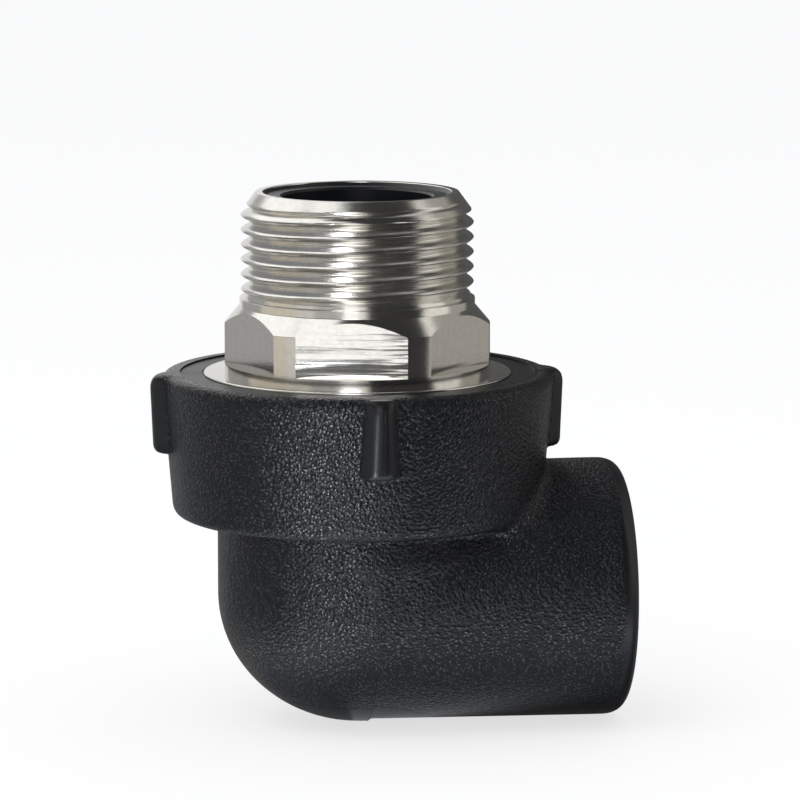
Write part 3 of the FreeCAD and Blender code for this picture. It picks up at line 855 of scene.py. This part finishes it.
class ELBOW_OT_stage(bpy.types.Operator):
    """Set up the white floor, the tent and disc of painted reflections, the white world, the lamp
    and the camera
    """
    bl_idname = "elbow.stage"
    bl_label = "Studio"

    def execute(self, context):
        scene = context.scene
        scene.view_settings.view_transform = "Standard"
        sides = ((-1, -1), (1, -1), (1, 1), (-1, 1))
        floor = new_piece("floor", [(x * FLOOR_REACH, y * FLOOR_REACH, FLOOR_LEVEL)
                                    for x, y in sides], [(0, 1, 2, 3)])
        floor.data.materials.append(floor_material(scene.elbow_studio.floor_colour))
        painted_reflection_tent()
        painted_reflection_disc()
        world = bpy.data.worlds.new("studio")
        scene.world = world
        world.use_nodes = True
        tree = world.node_tree
        tree.nodes.clear()
        seen = seen_straight(tree)
        plain = add_node(tree, "ShaderNodeBackground", inputs={"Color": linear("#f4f6fa") + [1]})
        white = add_node(tree, "ShaderNodeBackground", inputs={"Color": (1, 1, 1, 1)})
        mixed = add_node(tree, "ShaderNodeMixShader", inputs={
            0: seen.outputs[0], 1: plain.outputs[0], 2: white.outputs[0]})
        add_node(tree, "ShaderNodeOutputWorld", inputs={"Surface": mixed.outputs[0]})
        add_lamp("overhead_left", (-0.35, -0.3, 0.75), (0.6, 0.6), scene.elbow_studio.lamp_power)
        add_camera(scene)
        return {"FINISHED"}


def seen_straight(tree):
    """1 for a ray from the camera, a mirrored one and one through glass, otherwise 0."""
    rays = add_node(tree, "ShaderNodeLightPath")
    seen = add_node(tree, "ShaderNodeMath", {"operation": "MAXIMUM"}, {
        0: rays.outputs["Is Camera Ray"], 1: rays.outputs["Is Glossy Ray"]})
    return add_node(tree, "ShaderNodeMath", {"operation": "MAXIMUM"}, {
        0: seen.outputs[0], 1: rays.outputs["Is Transmission Ray"]})


def floor_material(colour):
    """Matt white acrylic sheet that the camera sees as white, with the object's shadow kept."""
    material, tree = new_material("white_acrylic_matt")
    seen = seen_straight(tree)
    share = add_node(tree, "ShaderNodeMath", {"operation": "MULTIPLY"}, {
        0: seen.outputs[0], 1: 0.7})
    sheet = add_node(tree, "ShaderNodeBsdfDiffuse", inputs={"Color": list(colour) + [1]})
    glow = add_node(tree, "ShaderNodeEmission", inputs={"Color": (1, 1, 1, 1)})
    mixed = add_node(tree, "ShaderNodeMixShader", inputs={
        0: share.outputs[0], 1: sheet.outputs[0], 2: glow.outputs[0]})
    finish_material(tree, mixed)
    return material


def tent_glow(right, ahead, up):
    """Brightness and tint of the painted reflection round the object, by direction: to the camera's
    right, ahead towards it, and up.
    """
    turn = math.degrees(math.atan2(right, ahead))
    dark_left = 0.17 - 0.48 * min(max((up - 0.7) / 0.3, 0), 1)
    dark_right = 0.841 * ahead - 0.387 * right + 0.24 * up + 2.2 * max(up - 0.86, 0)
    # A dark patch of painted reflection, in front on the right and over the top
    if right > dark_left and dark_right > 0:
        return 0.04, "#ffffff"
    # A bright strip of painted reflection beside the dark patch
    if -12 < turn < 2 and up < 0.94:
        return (1.38 if up < 0.2 else 3.4 if up < 0.6 else 1.2), "#ffffff"
    # Painted reflection of a roof, which comes down further on the left
    if up > 0.8 or (up > 0.62 and turn < -75) or (up > 0.5 and turn < -100):
        return (1.35, "#ffffff") if right < dark_left else (0.7, "#f8f5ef")
    # Painted reflection of walls on the right
    if turn > 0:
        if turn > 130:
            return 0.1, "#ffffff"
        if turn < 98:
            return 0.97, "#faf7f2"
        return 0.44, "#f7f3ea"
    # Painted reflection of walls on the left, grey above
    if up > 0.3 and turn > -115:
        return 0.13, "#fffdf4"
    if turn > -40:
        return 0.5, "#ffffff"
    if turn > -104:
        return 0.8, ("#f4ecdc" if turn < -60 else "#f7f4ee")
    if turn > -150:
        return 0.41, "#ffffff"
    return 0.85, "#ffffff"


def disc_glow(right, ahead, away):
    """Brightness and tint of the painted floor reflection, by place and distance from the object.
    """
    turn = math.degrees(math.atan2(right, ahead))
    # In front on the right: painted shade under the object, then a painted bright band, then dark
    if away < 90 and -7 < turn < 78:
        under = 0.45 * math.exp(-(away / 26) ** 2)
        return 0.12 + under + 2.4 * math.exp(-((away - 46) / 16) ** 2), "#f2f5fc"
    if -7 < turn < 95:
        return 0.07, "#ffffff"
    # On the left: a narrower band near the object
    if away < 46 and -110 < turn < -7:
        return 0.2 + (2.6 if turn > -60 else 0.75) * math.exp(-((away - 35) / 12) ** 2), "#f2f5fc"
    # Behind
    if turn >= 95 or turn < -150:
        return 0.28, "#f4f2ec"
    # A narrow bright strip in front
    if -22 < turn < -9 and 60 < away < 190:
        return 17.0, "#f6f9ff"
    # The rest of the left side
    if away < 62:
        return 0.3, "#f0ebd8"
    return 0.45, "#e6edfb"


def seen_from_camera(right, ahead):
    """The place on the ground plan that lies so far to the camera's right and towards it."""
    return (right * math.cos(CAMERA_YAW) - ahead * math.sin(CAMERA_YAW),
            -right * math.sin(CAMERA_YAW) - ahead * math.cos(CAMERA_YAW))


def painted_card(name, rows, columns, paint):
    """A card round the object that glows as it is painted. It shows only in what shines.

    The function paint gives a point and its glow, from the point's row and its turn.
    """
    turns = [2 * math.pi * column / columns for column in range(columns)]
    spots = [paint(row, turn) for row in range(rows + 1) for turn in turns]
    card = new_piece(name, [point for point, glow in spots], ring_faces(rows, columns, rows + 1))
    shade = card.data.color_attributes.new("glow", "FLOAT_COLOR", "POINT")
    colours = [[part * strength for part in linear(tint)] + [1.0]
               for point, (strength, tint) in spots]
    shade.data.foreach_set("color", [part for colour in colours for part in colour])
    # The material is painted reflection: an emission seen only in what shines
    material, tree = new_material(name + "_cloth")
    colour = add_node(tree, "ShaderNodeAttribute", {"attribute_name": "glow"})
    shader = add_node(tree, "ShaderNodeEmission", inputs={"Color": colour.outputs["Color"]})
    finish_material(tree, shader)
    card.data.materials.append(material)
    card.visible_camera = False
    card.visible_diffuse = False
    card.visible_shadow = False
    card.visible_transmission = False
    return card


def painted_reflection_tent():
    """Painted reflections round the object, glowing white and grey with a dark patch in it, for
    what shines to show.
    """
    columns, rows = 240, 68
    lowest, sweep = -10.5, 100.5

    def paint(row, turn):
        tilt = math.radians(lowest + sweep * row / rows)
        right, ahead = math.cos(tilt) * math.sin(turn), math.cos(tilt) * math.cos(turn)
        up = math.sin(tilt)
        x, y = seen_from_camera(right, ahead)
        return ((x * TENT_REACH, y * TENT_REACH, TENT_MIDDLE + up * TENT_REACH),
                tent_glow(right, ahead, up))

    return painted_card("painted_reflection_tent", rows, columns, paint)


def painted_reflection_disc():
    """Painted reflection of the floor round the object: painted shade under it, with a painted
    bright band round it in front.
    """
    columns, rows = 260, 120
    innermost, width, crowding = 4, 294, 1.6
    arm_reach = 38

    def paint(row, turn):
        reach = innermost + width * (row / rows) ** crowding
        right, ahead = reach * math.sin(turn), reach * math.cos(turn)
        x, y = seen_from_camera(right, ahead)
        away = math.hypot(x - min(max(x, 0), arm_reach), y)
        return (x, y, DISC_LEVEL), disc_glow(right, ahead, away)

    return painted_card("painted_reflection_disc", rows, columns, paint)


def add_lamp(name, place, sides, power):
    light = bpy.data.lights.new(name, "AREA")
    light.shape = "RECTANGLE"
    light.size, light.size_y = sides
    light.energy = power
    lamp = bpy.data.objects.new(name, light)
    bpy.context.scene.collection.objects.link(lamp)
    lamp.location = Vector(place)
    aim = Vector((UPRIGHT_X, 0, 0.015)) - lamp.location
    lamp.rotation_euler = aim.to_track_quat("-Z", "Y").to_euler()
    lamp.visible_glossy = False


def add_camera(scene):
    """Long lens at the photo's viewing angle."""
    lens = bpy.data.cameras.new("camera")
    lens.lens = LENS
    lens.sensor_width = FILM
    lens.clip_start = 0.01
    camera = bpy.data.objects.new("camera", lens)
    scene.collection.objects.link(camera)
    ahead = Vector((math.sin(CAMERA_YAW) * math.cos(CAMERA_DIP),
                    math.cos(CAMERA_YAW) * math.cos(CAMERA_DIP), -math.sin(CAMERA_DIP)))
    target = Vector((UPRIGHT_X + AIM_RIGHT * MM * math.cos(CAMERA_YAW),
                     -AIM_RIGHT * MM * math.sin(CAMERA_YAW), AIM_UP * MM))
    camera.location = target - ahead * CAMERA_DISTANCE * MM
    camera.rotation_euler = ahead.to_track_quat("-Z", "Y").to_euler()
    scene.camera = camera


class ELBOW_PT_panel(bpy.types.Panel):
    """Lists the elbow's pieces and their sizes"""
    bl_idname = "ELBOW_PT_panel"
    bl_label = "Threaded elbow"
    bl_space_type = "VIEW_3D"
    bl_region_type = "UI"
    bl_category = "Elbow"

    def draw(self, context):
        for place in GROUPS:
            group = getattr(context.scene, place)
            for name in GROUPS[place].__annotations__:
                self.layout.prop(group, name)
        for piece in PIECES:
            self.layout.operator(piece.bl_idname)


PIECES = [ELBOW_OT_housing, ELBOW_OT_flash, ELBOW_OT_thread, ELBOW_OT_insert, ELBOW_OT_seal,
          ELBOW_OT_stage]
GROUPS = {"elbow_housing": ELBOW_PG_housing, "elbow_thread": ELBOW_PG_thread,
          "elbow_insert": ELBOW_PG_insert, "elbow_seal": ELBOW_PG_seal,
          "elbow_studio": ELBOW_PG_studio}


def register():
    for place, group in GROUPS.items():
        bpy.utils.register_class(group)
        setattr(bpy.types.Scene, place, bpy.props.PointerProperty(type=group))
    for item in PIECES + [ELBOW_PT_panel]:
        bpy.utils.register_class(item)


def unregister():
    for item in reversed(PIECES + [ELBOW_PT_panel]):
        bpy.utils.unregister_class(item)
    for place, group in GROUPS.items():
        delattr(bpy.types.Scene, place)
        bpy.utils.unregister_class(group)


def main():
    register()
    bpy.ops.elbow.housing()
    bpy.ops.elbow.flash()
    bpy.ops.elbow.thread()
    bpy.ops.elbow.insert()
    bpy.ops.elbow.seal()
    bpy.ops.elbow.stage()


if __name__ == "__main__":
    main()
